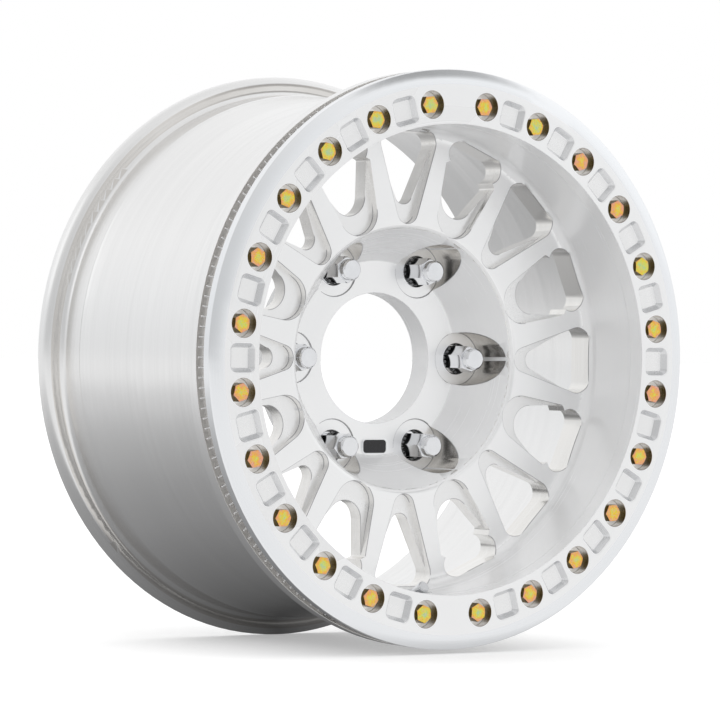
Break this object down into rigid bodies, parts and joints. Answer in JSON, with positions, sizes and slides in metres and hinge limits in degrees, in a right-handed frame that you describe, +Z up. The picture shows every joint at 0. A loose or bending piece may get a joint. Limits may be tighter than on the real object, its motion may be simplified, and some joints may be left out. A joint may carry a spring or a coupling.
{
  "type": "wheel",
  "caption": "Off-road vehicle wheel with a bolted outer ring that clamps the tyre's bead, a windowed flat face, a deep hub recess and a slanted metal valve with a cap.",
  "frame": {"origin": "on the wheel's axis, midway between the front of the clamping ring and the rear flange", "axes": "+Y along the axis towards the vehicle, -Y out of the front face, +Z up with the valve at the bottom, +X to the right of someone who looks at the front"},
  "size_m": [0.4698, 0.259, 0.4698],
  "materials": {
    "machined_aluminium": "bright turned aluminium with fine rings, under a clear coat",
    "ring_aluminium": "bright turned aluminium, matt in the pockets",
    "insert_steel": "plain stainless steel",
    "badge_black": "gloss black with a thin bright rim",
    "valve_metal": "polished metal",
    "valve_rubber": "matt black",
    "core_brass": "turned brass",
    "spring_steel": "drawn wire",
    "nut_chrome": "mirror chrome",
    "zinc_yellow": "steel with a yellow, slightly rainbow zinc coat"
  },
  "bodies": {
    "wheel": {"wheel_body": "machined_aluminium", "beadlock_ring": "ring_aluminium", "thread_inserts": "insert_steel", "hub_badge": "badge_black", "valve_stem": "valve_metal", "valve_seal": "valve_rubber", "valve_washer": "valve_metal", "valve_nut": "valve_metal", "valve_core": "core_brass", "valve_spring": "spring_steel", "lug_nut_1": "nut_chrome", "lug_nut_2": "nut_chrome", "lug_nut_3": "nut_chrome", "lug_nut_4": "nut_chrome", "lug_nut_5": "nut_chrome", "lug_nut_6": "nut_chrome", "ring_bolt_01": "zinc_yellow", "ring_bolt_02": "zinc_yellow", "ring_bolt_03": "zinc_yellow", "ring_bolt_04": "zinc_yellow", "ring_bolt_05": "zinc_yellow", "ring_bolt_06": "zinc_yellow", "ring_bolt_07": "zinc_yellow", "ring_bolt_08": "zinc_yellow", "ring_bolt_09": "zinc_yellow", "ring_bolt_10": "zinc_yellow", "ring_bolt_11": "zinc_yellow", "ring_bolt_12": "zinc_yellow", "ring_bolt_13": "zinc_yellow", "ring_bolt_14": "zinc_yellow", "ring_bolt_15": "zinc_yellow", "ring_bolt_16": "zinc_yellow", "ring_bolt_17": "zinc_yellow", "ring_bolt_18": "zinc_yellow", "ring_bolt_19": "zinc_yellow", "ring_bolt_20": "zinc_yellow", "ring_bolt_21": "zinc_yellow", "ring_bolt_22": "zinc_yellow", "ring_bolt_23": "zinc_yellow", "ring_bolt_24": "zinc_yellow"},
    "cap": {"valve_cap": "valve_metal"},
    "pin": {"valve_pin": "valve_metal"}
  },
  "joints": [
    {"name": "cap_unscrews", "type": "slide", "parent": "wheel", "child": "cap", "axis": [0, -0.8746, 0.4848], "range_m": [0, 0.008]},
    {"name": "pin_press", "type": "slide", "parent": "wheel", "child": "pin", "axis": [0, 0.8746, -0.4848], "range_m": [0, 0.0013], "stiffness_N_per_m": 600, "springref_m": -0.0005, "deforming": ["valve_spring"]}
  ]
}
